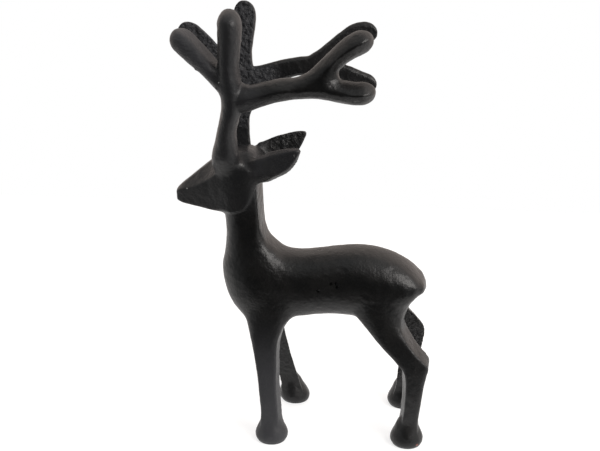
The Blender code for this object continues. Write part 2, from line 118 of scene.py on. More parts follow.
# Legs of the near side, from the body down: z, x of the front, x of the back, y of the inner face
# and of the outer one, then how much of the width the bevels take at the front and at the back
FORE_LEG = (
    (112, -40, -3, 2.5, 21.2, 0.1, 0.1),
    (104, -41, -1.5, 2.5, 21.4, 0.1, 0.1),
    (97, -42, -2, 3, 21.6, 0.1, 0.1),
    (90, -42.6, -5.8, 5, 21.9, 0.08, 0.1),
    (82, -39.8, -12.2, 8, 22.7, 0.06, 0.09),
    (72, -36.7, -16.1, 11, 24.1, 0.05, 0.08),
    (63, -34.6, -16.7, 13.6, 25.8, 0.05, 0.08),
    (53, -32.6, -16.6, 16.2, 28.3, 0.05, 0.09),
    (43, -31.2, -16.4, 18.2, 30.6, 0.05, 0.1),
    (33, -30.0, -15.7, 19.8, 32.4, 0.05, 0.11),
    (23, -29.2, -14.8, 21.0, 33.6, 0.05, 0.11),
    (14, -29.6, -14.0, 21.2, 34.6, 0.05, 0.1),
    (6, -30.5, -12.5, 21.4, 35.0, 0.05, 0.1),
)
HIND_LEG = (
    (118, 30, 74, 2, 22.0, 0.06, 0.06),
    (108, 28, 76, 2, 22.2, 0.06, 0.06),
    (100, 29, 74.4, 3.5, 22.4, 0.06, 0.08),
    (92, 35, 70.7, 5.5, 22.7, 0.06, 0.1),
    (86, 41, 71.0, 7, 23.1, 0.06, 0.13),
    (80, 46.8, 74.2, 8.6, 23.7, 0.06, 0.15),
    (74, 52.4, 78.2, 10.2, 24.5, 0.06, 0.16),
    (68.5, 58, 83.2, 11.6, 25.4, 0.06, 0.16),
    (64.6, 61.8, 86.8, 12.4, 26.0, 0.06, 0.15),
    (61.2, 64.7, 88.6, 13.0, 26.4, 0.08, 0.1),
    (58.6, 67.0, 88.2, 13.5, 26.8, 0.1, 0.05),
    (55.4, 68.8, 87.3, 14.0, 27.2, 0.12, 0.03),
    (48, 69.9, 85.6, 15.2, 28.0, 0.15, 0.03),
    (38, 70.2, 84.3, 16.4, 28.9, 0.16, 0.03),
    (28, 69.9, 83.2, 17.2, 29.6, 0.15, 0.03),
    (18, 69.2, 82.3, 17.4, 30.2, 0.12, 0.03),
    (8, 67, 83.5, 17.4, 30.8, 0.1, 0.03),
)
# The far hind leg, mirrored: its foot stands a little further in front and out, its hock is higher
# and its haunch fuller at the back
FAR_HIND_LEG = (
    (118, 30, 74, 2, 22.0, 0.06, 0.06),
    (108, 27, 76, 2, 22.2, 0.06, 0.06),
    (100, 28, 73.5, 3.5, 22.4, 0.06, 0.06),
    (94, 31.5, 72.2, 5.5, 22.8, 0.06, 0.06),
    (88.6, 36, 74.0, 7.5, 23.5, 0.06, 0.14),
    (84.7, 39.5, 77.4, 8.8, 24.1, 0.06, 0.14),
    (80.8, 43.5, 80.6, 10.0, 24.8, 0.06, 0.14),
    (76.9, 47.5, 83.6, 11.2, 25.6, 0.06, 0.14),
    (72.1, 52.3, 85.6, 12.4, 26.6, 0.06, 0.14),
    (66.2, 57.6, 85.7, 13.8, 27.7, 0.06, 0.14),
    (61.5, 62.2, 85.3, 15.0, 28.5, 0.06, 0.14),
    (57, 65.6, 84.6, 16.0, 29.3, 0.14, 0.03),
    (50, 67.4, 83.9, 17.2, 30.2, 0.14, 0.03),
    (38, 67.7, 82.5, 18.8, 31.8, 0.14, 0.03),
    (28, 67.4, 81.4, 20.2, 33.0, 0.14, 0.03),
    (18, 66.8, 80.6, 21.2, 34.2, 0.14, 0.03),
    (8, 64.6, 81.2, 21.6, 35.0, 0.14, 0.03),
)
# Hoof, a bell: z and its radius; it runs on below the ground, where it is cut flat
HOOF = (
    (21, 5.0),
    (17, 7.2),
    (13.5, 8.4),
    (10, 9.9),
    (7, 11.1),
    (4.2, 11.7),
    (2, 11.3),
    (0.6, 10.4),
    (-3, 9.6),
)
# Middle of each hoof: x, and how far out it stands
FORE_HOOF = (-21.4, 28.0)
HIND_HOOF = (74.6, 23.8)
FAR_HIND_HOOF = (72.6, 28.3)
# The hoof's radius across the figure, as a share of its radius, and the step between its rings
HOOF_DEPTH = 0.94
HOOF_STEP = 0.7
# The far fore leg is the near one mirrored and leant back from the knee down, with a wider bevel at
# the back. The lean grows by a power of the way down.
FAR_FORE_BEVEL = 0.24
FAR_FORE_HOOF_BACK = 11.3
FORE_KNEE = 70
FORE_LEAN_POWER = 1.1
# A leg's outer side is oval where it leaves the body and nearly flat at the shank: the power of its
# superellipse, and the heights where that starts and ends
ROOT_ROUNDNESS = 2.2
SHANK_ROUNDNESS = 6.0
ROOT_LEVEL = 96
SHANK_LEVEL = 62
# Powers of the other superellipses, where 2 is an ellipse
NECK_ROUNDNESS = 2.3
BARREL_ROUNDNESS = 2.25
BRANCH_ROUNDNESS = 2.3
# Half width of the head's underside, as a share of the one at the jaw's edge
CHIN_SHARE = 0.6

# Antlers: x, z, y of the flat inner face, width, thickness. The last row of a branch is its rounded
# tip
STEM = (
    (-50.8, 194.5, 12.4, 17.6, 6.6),
    (-51, 199.5, 14.3, 19.2, 8.1),
    (-51, 204, 15.4, 18.4, 9.8),
    (-50.0, 214, 16.8, 14.8, 11.6),
    (-48.4, 225, 18.2, 12.0, 12.2),
    (-46.1, 233, 19.6, 12.4, 12.4),
    (-44.1, 242, 21, 14.4, 13),
    (-45.2, 254, 22.4, 14.6, 13),
    (-45.7, 265, 24, 13.2, 12.5),
    (-44.9, 275, 25.2, 13.8, 12.8),
    (-44.0, 285, 26.3, 14.8, 13),
    (-43.9, 299.8, 27.6, 14.8, 12.6),
)
# The far stem is wider at the back from the head up to the beam
FAR_STEM_WIDER = 2.4
FAR_STEM = tuple(
    (x + wider / 2, z, y, width + wider, thickness)
    for x, z, y, width, thickness in STEM
    for wider in [FAR_STEM_WIDER * (z < 240)]
)
FRONT_TINE = {
    "near": (
        (-44, 249, 21.5, 15, 12.5),
        (-51, 256.2, 21, 14, 12.5),
        (-58.6, 263.4, 19.6, 13.4, 12.2),
        (-66.4, 270, 17, 15, 12),
        (-72.8, 275.4, 14.8, 15.8, 12),
        (-82.6, 283.6, 11.8, 15.6, 11.5),
    ),
    "far": (
        (-44, 246, 21.5, 15, 12.5),
        (-51, 252.4, 21, 14, 12.5),
        (-58.6, 258.6, 19.6, 13.2, 12.2),
        (-66.4, 267.0, 17, 14.8, 12),
        (-73.4, 274.4, 14.8, 15.6, 12),
        (-84.4, 284.8, 11.8, 15.6, 11.5),
    ),
}
BEAM = {
    "near": (
        (-45, 243.5, 21, 18, 12.5),
        (-36, 244.8, 21.2, 18.2, 12.5),
        (-28.5, 246.4, 21.6, 15.6, 12),
        (-15.5, 249.8, 22.2, 14.6, 11.6),
        (-2.8, 251.7, 22.7, 14.2, 11.6),
        (7.5, 252.6, 23.2, 14.8, 11.8),
        (15, 252.2, 23.6, 15, 12),
        (24.4, 250.3, 24, 14.6, 12),
        (31, 249.4, 24.5, 14.6, 12),
        (45.8, 250.2, 25.2, 14.6, 11.4),
    ),
    "far": (
        (-45, 245, 21, 18, 12.5),
        (-36, 248, 21.2, 18, 12.5),
        (-28, 251.2, 21.6, 14.8, 12),
        (-15.5, 255.4, 22.2, 13.2, 11.6),
        (-7, 257.1, 22.6, 12.7, 11.6),
        (2, 257.2, 23, 13.8, 11.8),
        (13, 254.3, 23.6, 15.2, 12),
        (24.4, 250.8, 24, 14.8, 12),
        (33, 247.8, 24.5, 13.6, 12),
        (45.6, 243.8, 25.2, 13, 11.4),
    ),
}
FORK = {
    "near": (
        (0, 253, 22.8, 11.5, 11),
        (8, 257.6, 23.3, 12.6, 11.4),
        (16.4, 265.3, 24, 12.8, 11.8),
        (23.7, 272.8, 25, 12.8, 12),
        (30, 277.6, 25.8, 14.2, 12),
        (43.2, 284.2, 26.2, 14.6, 11.4),
    ),
    "far": (
        (0, 258.4, 22.8, 11, 11),
        (8, 262.4, 23.3, 12, 11.4),
        (16.4, 268.8, 24, 12.4, 11.8),
        (23.7, 274.4, 25, 12.8, 12),
        (30, 278.0, 25.8, 14.2, 12),
        (45.2, 279.8, 26.2, 14.6, 11.4),
    ),
}
# The web that fills the angle of the fork
WEB = {
    "near": (
        (-2, 253.2, 22.8, 12, 11.0),
        (10, 257.0, 23.2, 15, 11.6),
        (23.4, 261.8, 24.2, 13, 10.8),
    ),
    "far": (
        (-2, 257.2, 22.8, 10.4, 10.6),
        (10, 258.8, 23.2, 13.6, 11.4),
        (23.4, 262.0, 24.2, 13, 10.8),
    ),
}
# How far the outer side is pinched to a crest, from 0, round, to 1, a roof: at the root and at the
# tip
STEM_CREST = (0.0, 0.0)
TINE_CREST = (0.05, 0.05)
BEAM_CREST = (0.2, 0.62)
FORK_CREST = (0.5, 0.5)
WEB_CREST = (0.25, 0.25)
EAR_CREST = (0.0, 0.0)
# Bevel of the outer side: its share of the width at the front or upper edge, and at the back or
# lower one
PLAIN_RIM = (0.02, 0.02)
STEM_RIM = (0.02, 0.06)
TINE_RIM = (0.02, 0.2)
# Length of the rounded end of a branch, as a share of the width there, and what is left of the
# branch at its very tip
CAP_LENGTH = 0.62
CAP_LEFT = 0.001
# Bevel where the flat inner face meets the outer side: its share of the half width, and of the
# thickness
LEG_BEVEL = (0.02, 0)
STEM_BEVEL = (0.08, 0.06)
FORK_BEVEL = (0.3, 0.16)

# Ear, from the root to the tip: x, z, y of the inner face, width, thickness
EAR = {
    "near": (
        (-37, 190.5, 10.5, 15, 8),
        (-29.5, 194.6, 12.0, 19.6, 7.6),
        (-21.5, 198.4, 14.4, 19.0, 7.0),
        (-14, 202.2, 16.6, 17.2, 6.4),
        (-8.4, 206.1, 18.4, 12.8, 5.8),
        (-4.4, 209.2, 19.8, 7.2, 5.2),
        (-1.2, 211.4, 20.6, 1.4, 3.4),
    ),
    "far": (
        (-37, 194.0, 10.5, 15, 8),
        (-29.5, 197.8, 12.0, 19.6, 7.6),
        (-21.5, 201.2, 14.4, 19.0, 7.0),
        (-14, 204.4, 16.6, 17.2, 6.4),
        (-8.6, 208.0, 18.4, 12.8, 5.8),
        (-4.6, 210.8, 19.8, 7.2, 5.2),
        (-1.2, 212.8, 20.6, 1.4, 3.4),
    ),
}
# The ear's rim: its bevel at the upper edge and the wider one at the lower. Then how deep the ear
# is hollowed, the wall that is kept, and how far the hollow sits off the middle
EAR_RIM = (0.14, 0.22)
EAR_HOLLOW = 0.24
EAR_WALL = 0.12
EAR_FOLD = 0.2

# Roots worked smooth: x, y of the near one (0 is in the middle), z, radius
ROOTS = (
    (-20, 0, 140, 22),
    (-21, 13, 136, 20),
    (-14, 14, 118, 24),
    (-17, 20, 100, 20),
    (-32, 14, 90, 17),
    (-42, 12, 86, 12),
    (-12, 14, 87, 12),
    (46, 14, 93, 17),
    (56, 20, 100, 22),
    (70, 10, 97, 12),
    (-56, 0, 161, 8),
    (-54, 11, 161, 8),
    (-53, 20, 196, 9.5),
    (-45, 21, 196, 9.5),
    (-30, 18, 190, 9),
    (-31, 19, 198, 8),
    (-44, 8, 205, 8),
    (-30, 10, 200, 12),
    (-21, 28, 15, 7),
    (-13, 28, 15, 7),
    (74, 26, 15, 7),
    (-47, 30, 250, 9),
    (-33, 22, 252, 7),
    (-41, 20, 236, 7),
    (-53, 22, 262, 5),
    (0, 31, 257, 10),
    (14, 32, 258, 12),
    (22, 35, 256, 10),
    (21, 24, 261, 7),
)
# Passes of smoothing at the roots and all over, how steeply the roots' one fades out to their
# radius, and how far towards its neighbours a point moves in one pass
ROOT_PASSES = 150
SKIN_PASSES = 4
ROOT_FADE = 1.4
PASS_SHARE = 0.5


def through(stations, step=RING_STEP):
    """Rows read from the smooth curve through the stations, about one step apart."""
    rows = np.array(stations, float)
    knots = np.append(0, np.cumsum(np.linalg.norm(np.diff(rows[:, :2], axis=0), axis=1)))
    slopes = np.gradient(rows, knots, axis=0)
    at = np.linspace(0, knots[-1], round(knots[-1] / step) + 1)
    low = np.clip(np.searchsorted(knots, at, side="right") - 1, 0, len(knots) - 2)
    span = (knots[low + 1] - knots[low])[:, None]
    u = (at - knots[low])[:, None] / span
    start = (1 + 2 * u) * (1 - u) ** 2 * rows[low] + u * (1 - u) ** 2 * span * slopes[low]
    end = u**2 * (3 - 2 * u) * rows[low + 1] - u**2 * (1 - u) * span * slopes[low + 1]
    return start + end


def circle():
    """The angles of a ring's points, spaced evenly round a full turn."""
    return np.linspace(0, 2 * np.pi, RING_POINTS, endpoint=False)


def rounded(value, power):
    """A cosine or sine bent so that the pair draws a superellipse of this power."""
    return np.sign(value) * np.abs(value) ** (2 / power)


def half_round(crest, front_bevel, back_bevel, power=BRANCH_ROUNDNESS, inner_bevel=LEG_BEVEL):
    """A flat-backed section: across from -1 to 1, and out from 0 at the inner face to 1.

    The outer side is half a superellipse, pinched towards a roof by crest. Each bevel is a
    straight cut.
    """
    turn = circle()
    across = rounded(np.cos(turn), power)
    bulge = (1 - crest) * rounded(np.abs(np.sin(turn)), power) + crest * (1 - np.abs(across))
    bulge = np.minimum(bulge, (1 + across) / (2 * front_bevel))
    bulge = np.minimum(bulge, (1 - across) / (2 * back_bevel))
    share, depth = inner_bevel
    inner = depth * np.clip((np.abs(across) - 1 + share) / share, 0, 1)
    return across, np.where(turn < np.pi, depth + (1 - depth) * np.maximum(bulge, 0), inner)


def neck():
    """Level superellipses, whose back half has its own power and bows in at its edges."""
    z, front, back, half, square = through(NECK).T[..., None]
    cosine, sine = np.cos(circle()), np.sin(circle())
    power = np.where(cosine > 0, square, NECK_ROUNDNESS)
    bow = NAPE_BOW * np.clip(square / 6 - 0.5, 0, 1) * rounded(sine, power) ** 2 * (cosine > 0)
    x = (front + back) / 2 + (back - front) / 2 * rounded(cosine, power) - bow
    return np.stack(np.broadcast_arrays(x, half * rounded(sine, power), z), 2)


def barrel():
    """Upright superellipses between belly and back, a little fuller than ellipses."""
    x, belly, back, half = through(BARREL).T[..., None]
    y = half * rounded(np.sin(circle()), BARREL_ROUNDNESS)
    z = (belly + back) / 2 + (back - belly) / 2 * rounded(np.cos(circle()), BARREL_ROUNDNESS)
    return np.stack(np.broadcast_arrays(x, y, z), 2)


def head():
    """Upright eight-sided sections, whose corners run back as the edges of the facets."""
    x, ridge, edge, jaw, chin, ridge_half, edge_half, jaw_half = through(HEAD).T
    y = np.stack([ridge_half, edge_half, jaw_half, jaw_half * CHIN_SHARE], 1)
    z = np.stack([ridge, edge, jaw, chin], 1)
    y = np.hstack([y, -y[:, ::-1]])
    z = np.hstack([z, z[:, ::-1]])
    corners = y.shape[1]
    corner = np.linspace(0, corners, RING_POINTS, endpoint=False)
    low, part = corner.astype(int), corner % 1
    high = (low + 1) % corners
    y = y[:, low] * (1 - part) + y[:, high] * part
    z = z[:, low] * (1 - part) + z[:, high] * part
    return np.stack(np.broadcast_arrays(x[:, None], y, z), 2)


def leg(stations):
    """Level flat-backed sections, whose outer side is flatter the lower it is."""
    rings = []
    for z, front, back, inner, outer, front_bevel, back_bevel in through(stations):
        low = np.clip((ROOT_LEVEL - z) / (ROOT_LEVEL - SHANK_LEVEL), 0, 1)
        power = ROOT_ROUNDNESS + low * (SHANK_ROUNDNESS - ROOT_ROUNDNESS)
        across, out = half_round(0, front_bevel, back_bevel, power)
        x = (front + back) / 2 + (back - front) / 2 * across
        rings.append(np.stack([x, -inner - (outer - inner) * out, np.full(RING_POINTS, z)], 1))
    return np.array(rings)


def hoof(place):
    """Level ovals of the bell's radius about an upright line at this place."""
    z, radius = through(HOOF, HOOF_STEP).T[..., None]
    x = place[0] + radius * np.cos(circle())
    y = -place[1] + radius * HOOF_DEPTH * np.sin(circle())
    return np.stack(np.broadcast_arrays(x, y, z), 2)


def branch(stations, crest, inner_bevel=STEM_BEVEL, rim=PLAIN_RIM, hollow=0.0):
    """A flat-backed rod swept along its inner face, whose end is rounded off as a quarter circle.

    A hollow is a parabola across the rod, taken off its outer side.
    """
    rows = through(stations, RING_STEP / 2)
    centre = np.stack([rows[:, 0], -rows[:, 2], rows[:, 1]], 1)
    along = np.gradient(centre, axis=0)
    along /= np.linalg.norm(along, axis=1, keepdims=True)
    outward = np.array([0, -1, 0]) + along * along[:, 1:2]
    outward /= np.linalg.norm(outward, axis=1, keepdims=True)
    across = np.cross(along, outward)
    length = np.append(0, np.cumsum(np.linalg.norm(np.diff(centre, axis=0), axis=1)))
    reach = stations[-1][3] * CAP_LENGTH
    left = np.clip((length[-1] - length) / reach, 0, 1)
    taper = np.sqrt(np.maximum(1 - (1 - left) ** 2, CAP_LEFT))
    share = (length / length[-1])[:, None]
    side, round_out = half_round(0, *rim, inner_bevel=inner_bevel)
    roof_out = half_round(1, *rim, inner_bevel=inner_bevel)[1]
    pinch = crest[0] + (crest[1] - crest[0]) * share
    out = (1 - pinch) * round_out + pinch * roof_out
    middle = EAR_FOLD / 2 + rim[0] - rim[1]
    dish = hollow * np.clip(1 - ((side - middle) / (1 - sum(rim))) ** 2, 0, 1)
    out = np.where(circle() < np.pi, np.maximum(out - dish, EAR_WALL * np.sin(circle())), out)
    wide = (rows[:, 3] / 2 * taper)[:, None, None] * side[None, :, None] * across[:, None]
    deep = (rows[:, 4] * taper)[:, None, None] * out[:, :, None] * outward[:, None]
    return centre[:, None] + wide + deep


def mirrored(rings):
    """The rings on the other side: y changes its sign, and each ring runs the other way round."""
    return rings[:, ::-1] * (1, -1, 1)


def pair(tables, *shape):
    """The near one of a pair of branches, and the far one on its own side."""
    return [branch(tables["near"], *shape), mirrored(branch(tables["far"], *shape))]


def far_fore(rings):
    """The near fore leg mirrored and leant back from the knee down."""
    moved = mirrored(rings)
    below = np.clip(1 - moved[..., 2] / FORE_KNEE, 0, 1)
    moved[..., 0] += FAR_FORE_HOOF_BACK * below**FORE_LEAN_POWER
    return moved


def lofts():
    """Every limb as an array of rings."""
    fore_hoof = hoof(FORE_HOOF)
    far_fore_leg = leg([row[:6] + (FAR_FORE_BEVEL,) for row in FORE_LEG])
    pieces = [neck(), barrel(), head(), leg(FORE_LEG), fore_hoof, leg(HIND_LEG), hoof(HIND_HOOF)]
    pieces += [far_fore(far_fore_leg), far_fore(fore_hoof)]
    pieces += [mirrored(leg(FAR_HIND_LEG)), mirrored(hoof(FAR_HIND_HOOF))]
    pieces += pair({"near": STEM, "far": FAR_STEM}, STEM_CREST, STEM_BEVEL, STEM_RIM)
    pieces += pair(FRONT_TINE, TINE_CREST, STEM_BEVEL, TINE_RIM)
    pieces += pair(BEAM, BEAM_CREST, FORK_BEVEL)
    pieces += pair(FORK, FORK_CREST, FORK_BEVEL)
    pieces += pair(WEB, WEB_CREST, FORK_BEVEL)
    pieces += pair(EAR, EAR_CREST, STEM_BEVEL, EAR_RIM, EAR_HOLLOW)
    return pieces


def closed_mesh(name, pieces):
    """One mesh that holds each array of rings as a closed skin with flat ends."""
    points, faces, first = [], [], 0
    for rings in pieces:
        count, around = rings.shape[:2]
        index = first + np.arange(count * around).reshape(count, around)
        after = np.roll(index, -1, axis=1)
        sides = np.stack([index[:-1], after[:-1], after[1:], index[1:]], 2)
        faces += sides.reshape(-1, 4).tolist()
        faces += [index[0, ::-1].tolist(), index[-1].tolist()]
        points.append(rings.reshape(-1, 3))
        first += count * around
    mesh = bpy.data.meshes.new(name)
    mesh.from_pydata((np.concatenate(points) * UNIT).tolist(), [], faces)
    mesh.update()
    return mesh


def evaluated_mesh(obj):
    """A new mesh of the object as its modifiers leave it."""
    bpy.context.view_layer.update()
    seen = obj.evaluated_get(bpy.context.evaluated_depsgraph_get())
    return bpy.data.meshes.new_from_object(seen)


def remeshed(obj, cell):
    """The overlapping skins of the object as one skin."""
    modifier = obj.modifiers.new("one skin", "REMESH")
    modifier.mode = "VOXEL"
    modifier.voxel_size = cell
    mesh = evaluated_mesh(obj)
    obj.modifiers.remove(modifier)
    return mesh


def work_smooth(mesh):
    """The points in units, each moved in passes towards the middle of its neighbours.

    All of them move in a few passes, and those at the roots in many.
    """
    points = np.empty(len(mesh.vertices) * 3)
    mesh.vertices.foreach_get("co", points)
    points = points.reshape(-1, 3) / UNIT
    ends = np.empty(len(mesh.edges) * 2, int)
    mesh.edges.foreach_get("vertices", ends)
    start, stop = ends.reshape(-1, 2).T
    near = np.zeros(len(points))
    for x, y, z, radius in ROOTS:
        for side in (-1, 1):
            away = np.linalg.norm(points - (x, side * y, z), axis=1) / radius
            near = np.maximum(near, np.clip(ROOT_FADE * (1 - away), 0, 1))
    neighbours = np.bincount(ends, minlength=len(points))
    for turn in range(ROOT_PASSES):
        weight = np.maximum(near, turn < SKIN_PASSES)[:, None] * PASS_SHARE
        total = np.stack([
            np.bincount(start, points[stop, axis], len(points))
            + np.bincount(stop, points[start, axis], len(points))
            for axis in range(3)
        ], 1)
        points = points + weight * (total / neighbours[:, None] - points)
    return points


def thinned(obj, facets):
    """The object's mesh brought down to this many triangles, where it has more."""
    modifier = obj.modifiers.new("fewer facets", "DECIMATE")
    modifier.ratio = min(1, facets / (2 * len(obj.data.polygons)))
    mesh = evaluated_mesh(obj)
    obj.modifiers.remove(modifier)
    return mesh


# Marks of the casting and of its years on a shelf: x, y, z, radius, and depth where it is a pit
PITS = (
    (10.1, -0.5, 135.2, 1.2, 0.5),
    (19.3, -20.4, 118.3, 1.0, 0.3),
    (22.6, -20.4, 118.4, 1.2, 0.4),
    (23.4, -20.7, 116.0, 1.0, 0.3),
    (10.5, -20.9, 112.6, 1.1, 0.4),
    (0.2, -20.4, 100.9, 1.0, 0.3),
    (-16.9, -17.4, 58.2, 0.9, 0.4),
    (40.0, 21.4, 121.0, 0.8, 0.5),
    (31.5, 20.8, 108.0, 0.8, 0.4),
    (-9.0, 21.0, 116.0, 0.9, 0.4),
)
BURRS = (
    (-52.8, -30.8, 251.3, 1.2, 0.6),
    (-66.5, -26.0, 262.3, 1.3, 0.6),
    (-32.6, 13.6, 205.8, 1.8, 0.7),
    (2.6, -34.0, 252.3, 2.2, 0.4),
    (-40.4, -17.0, 199.2, 1.8, 0.5),
)
# Rubbed nicks down to the aluminium, and one such spot that is a painted highlight: x, y, z,
# radius, and how far it is rubbed through where not all the way
NICKS_AND_PAINTED_HIGHLIGHT = (
    (-39.9, -31.6, 259.0, 0.8),
    (-50.5, -33.6, 255.5, 0.8),
    (-55.4, -21.9, 268.9, 0.6),
    (-79.9, -7.6, 178.8, 0.7),
    # Painted highlight: a soft spot of aluminium on the bump behind the near stem's foot
    (-40.7, -17.4, 199.0, 2.6, 0.5),
    (-5.3, -23.7, 208.1, 0.6),
    (-14.4, 16.7, 205.6, 0.5),
)
# A chip where the ground coat shows, reddish: x, y, z, radius
CHIPS = ((81.9, -32.2, 3.1, 1.1),)

# Lumps of the clay pattern, of the hand that fettled the casting and of its skin: size and height
PATTERN_SIZE = 12
PATTERN_LUMP = 0.12
HAND_SIZE = 3.6
HAND_LUMP = 0.12
FINE_SIZE = 1.7
FINE_LUMP = 0.05
# Sand grain: the sizes of the coarser and the finer, the share of the finer, and its height
COARSE_GRAIN_SIZE = 1.6
FINE_GRAIN_SIZE = 1.25
FINE_GRAIN_SHARE = 0.8
SAND_GRAIN = 0.8
# How much of the grain was dressed off on the beams, behind the stems
BEAM_DRESSED = 0.85


def lumps(points, size, seed):
    """Smooth noise from -1 to 1.

    Random values on a cubic lattice of this size are blended by 3t^2 - 2t^3 along each axis.
    """
    low = np.floor(points / size).astype(int)
    part = points / size - low
    part = part**2 * (3 - 2 * part)
    low -= low.min(axis=0)
    values = np.random.default_rng(seed).uniform(-1, 1, low.max(axis=0) + 2)
    total = np.zeros(len(points))
    for corner in itertools.product((0, 1), repeat=3):
        weight = np.prod(np.where(corner, part, 1 - part), axis=1)
        total += weight * values[tuple((low + corner).T)]
    return total


def ramp(value, low, high):
    """0 below low, 1 above high, and 3t^2 - 2t^3 between them."""
    t = np.clip((value - low) / (high - low), 0, 1)
    return t * t * (3 - 2 * t)


def spots(points, places):
    """The highest of the bells exp(-(distance / radius)^2) at these places.

    Each is multiplied by its depth, where it has one.
    """
    total = np.zeros(len(points))
    for x, y, z, radius, *depth in places:
        away = np.sum((points - (x, y, z)) ** 2, axis=1) / radius**2
        total = np.maximum(total, np.exp(-away) * (depth[0] if depth else 1))
    return total


def relief(points, normals):
    """How far each point stands out along its normal, and the masks that the finish reads.

    Broad lumps all over, small ones from the fettling, grain where the flat inner face was left as
    cast, and the pits and burrs, each a bell. A mask is a product of ramps over the place where it
    shows.
    """
    x, y, z = points.T
    inward = ramp(-normals[:, 1] * np.sign(y), 0.8, 0.95) * ramp(z, 18, 28)
    antler = ramp(z, 213, 221)
    hind = ramp(x, 20, 30) * (1 - ramp(z, 96, 104))
    sand = inward * (0.2 + 0.8 * np.clip(antler + hind, 0, 1))
    sand *= 1 - BEAM_DRESSED * ramp(x, -30, -17) * antler
    grain = lumps(points, COARSE_GRAIN_SIZE, 11)
    grain = grain + FINE_GRAIN_SHARE * lumps(points, FINE_GRAIN_SIZE, 12)
    height = PATTERN_LUMP * lumps(points, PATTERN_SIZE, 1)
    height = height + HAND_LUMP * lumps(points, HAND_SIZE, 2) * (1 - sand)
    height += FINE_LUMP * lumps(points, FINE_SIZE, 3)
    height += SAND_GRAIN * grain * sand
    height += spots(points, BURRS) - spots(points, PITS)
    height *= ramp(z, 0, 2)
    nape = ramp(normals[:, 0], 0.8, 0.95) * ramp(z, 138, 150) * (1 - ramp(z, 190, 200))
    tine = (1 - ramp(x, -60, -52)) * ramp(z, 250, 258) * (1 - inward)
    fore = 1 - ramp(x, 0, 30)
    near = ramp(-y, 0, 10)
    shank = 1 - ramp(z, 40, 100)
    legs = (0.12 + 0.88 * fore * near) * shank * (fore + (1 - fore) * ramp(z, 14, 22))
    ear = ramp(x, -36, -28) * ramp(z, 190, 196) * (1 - ramp(z, 212, 216)) * near
    crown = ramp(z, 160, 174) * (1 - ramp(x, -30, -22))
    crown = crown + (1 - ramp(x, -34, -14)) * ramp(z, 200, 206)
    # The dull mask makes the black rougher and lighter. On the near fore leg, the near ear, the front
    # tines and the antlers' inner faces its lighter colour is painted light; on the crown it lightens
    # the black a little.
    dull_and_painted_light = legs + 0.2 * crown + 0.45 * ear + 0.7 * tine + 0.85 * sand * antler
    masks = {
        "sand": sand,
        "dull_and_painted_light": np.clip(dull_and_painted_light, 0, 1),
        "filed": np.maximum(nape, 0.5 * tine),
        "bare_and_painted_highlight": spots(points, NICKS_AND_PAINTED_HIGHLIGHT),
        "chip": spots(points, CHIPS),
        "pit": spots(points, [place[:4] for place in PITS]),
    }
    return height, masks


def point_normals(points, corners):
    """The sum of the area vectors of the faces round each point, made one long."""
    first, second, third, fourth = (points[corners[:, k]] for k in range(4))
    area = np.cross(third - first, fourth - second)
    total = np.stack([
        sum(np.bincount(corners[:, k], area[:, axis], len(points)) for k in range(4))
        for axis in range(3)
    ], 1)
    return total / np.linalg.norm(total, axis=1, keepdims=True)


def make_casting():
    """The lofts run together as one skin, worked smooth, given its relief and set on flat soles."""
    casting = bpy.data.objects.new("casting", closed_mesh("lofts", lofts()))
    bpy.context.scene.collection.objects.link(casting)
    casting.data = remeshed(casting, SKIN_CELL * UNIT)
    mesh = casting.data
    points = work_smooth(mesh)
    corners = np.empty(len(mesh.polygons) * 4, np.int32)
    mesh.polygons.foreach_get("vertices", corners)
    normals = point_normals(points, corners.reshape(-1, 4))
    height, masks = relief(points, normals)
    points = points + normals * height[:, None]
    points[:, 2] = np.maximum(points[:, 2], 0)
    mesh.vertices.foreach_set("co", (points * UNIT).ravel())
    for name, values in masks.items():
        mesh.attributes.new(name, "FLOAT", "POINT").data.foreach_set("value", values)
    mesh.update()
    casting.data = thinned(casting, MOST_FACETS)
    casting.data.name = "casting"
    casting.data.shade_smooth()
    return casting


class Value:
    """One output socket. Its operators add Math nodes."""

    def __init__(self, board, socket):
        self.board = board
        self.socket = socket

    def __add__(self, other):
        return self.board.node("ShaderNodeMath", {"operation": "ADD"}, {0: self, 1: other})

    def __mul__(self, other):
        return self.board.node("ShaderNodeMath", {"operation": "MULTIPLY"}, {0: self, 1: other})

    def __sub__(self, other):
        return self.board.node("ShaderNodeMath", {"operation": "SUBTRACT"}, {0: self, 1: other})

    def __rsub__(self, other):
        return self.board.node("ShaderNodeMath", {"operation": "SUBTRACT"}, {0: other, 1: self})

    __radd__ = __add__
    __rmul__ = __mul__


class Board:
    """The node tree of a material or of the world."""

    def __init__(self, owner):
        owner.use_nodes = True
        self.tree = owner.node_tree
        self.tree.nodes.clear()

    def node(self, kind, settings=None, sockets=None, out=0):
        """Adds a node: its settings first, then the values and links of its sockets."""
        node = self.tree.nodes.new(kind)
        for name, value in (settings or {}).items():
            setattr(node, name, value)
        for name, value in (sockets or {}).items():
            if isinstance(value, Value):
                self.tree.links.new(value.socket, node.inputs[name])
            else:
                node.inputs[name].default_value = value
        return Value(self, node.outputs[out]) if node.outputs else None

    def mask(self, name):
        """An attribute of the mesh's points, from 0 to 1."""
        return self.node("ShaderNodeAttribute", {"attribute_name": name}, out="Fac")

    def noise(self, place, scale, detail=2.0, roughness=0.5):
        """Noise from 0 to 1, with this many lumps to a metre of the place."""
        return self.node(
            "ShaderNodeTexNoise",
            None,
            {"Vector": place, "Scale": scale, "Detail": detail, "Roughness": roughness},
        )

    def between(self, value, low, high, to_low=0.0, to_high=1.0):
        """From to_low where the value is low to to_high where it is high, by 3t^2 - 2t^3."""
        return self.node(
            "ShaderNodeMapRange",
            {"interpolation_type": "SMOOTHSTEP"},
            {
                "Value": value,
                "From Min": low,
                "From Max": high,
                "To Min": to_low,
                "To Max": to_high,
            },
        )

    def blend(self, factor, first, second):
        """A colour between two."""
        return self.node(
            "ShaderNodeMix", {"data_type": "RGBA"}, {"Factor": factor, 6: first, 7: second}, out=2
        )
